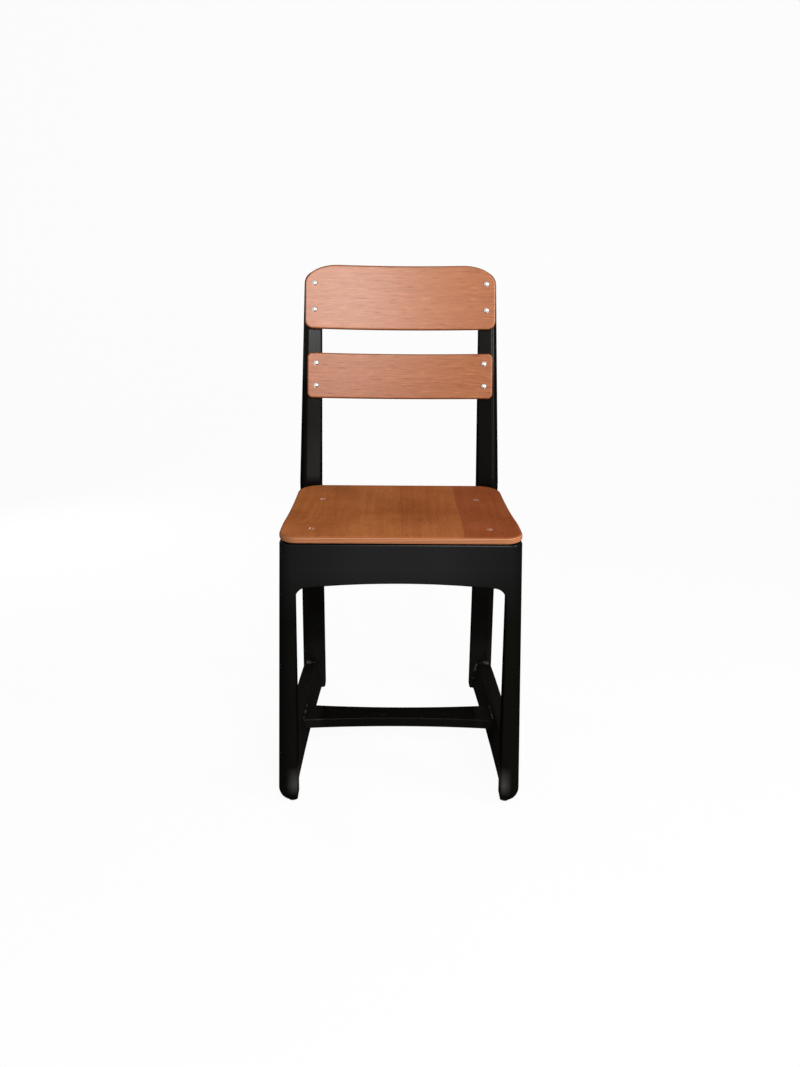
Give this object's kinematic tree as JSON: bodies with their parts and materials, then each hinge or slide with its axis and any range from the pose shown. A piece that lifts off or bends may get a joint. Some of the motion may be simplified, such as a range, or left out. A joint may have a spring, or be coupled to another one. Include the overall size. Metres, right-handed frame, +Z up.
{
  "type": "school chair",
  "caption": "School chair with a dished plywood seat and curved riveted plywood back slats on a black pressed-steel sled frame.",
  "frame": {"origin": "on the floor, under the middle of the chair's overall box", "axes": "+Z up, the sitter faces -Y, +X is the sitter's left"},
  "size_m": [0.3774, 0.5011, 0.8109],
  "materials": {
    "black_enamel": "semi-gloss black enamel on pressed steel",
    "seat_plywood": "satin red-brown lacquer, grain front to back",
    "back_plywood": "satin red-brown lacquer, grain side to side",
    "bright_rivet": "bright nickel-plated domed head",
    "dull_screw": "dull slotted dome head",
    "plated_steel": "plain zinc plating",
    "glide_rubber": "matt black"
  },
  "bodies": {
    "root": {"front_frame": "black_enamel", "right_rear_post": "black_enamel", "left_rear_post": "black_enamel", "right_runner": "black_enamel", "left_runner": "black_enamel", "stretcher": "black_enamel", "right_seat_rail": "black_enamel", "left_seat_rail": "black_enamel", "rear_seat_rail": "black_enamel", "seat": "seat_plywood", "upper_slat": "back_plywood", "lower_slat": "back_plywood", "upper_slat_rivets": "bright_rivet", "lower_slat_rivets": "bright_rivet", "upper_rivet_washers": "plated_steel", "lower_rivet_washers": "plated_steel", "seat_screws": "dull_screw", "seat_screw_washers": "plated_steel", "seat_screw_nuts": "plated_steel", "right_front_glide": "glide_rubber", "left_front_glide": "glide_rubber", "right_rear_glide": "glide_rubber", "left_rear_glide": "glide_rubber"}
  },
  "joints": []
}
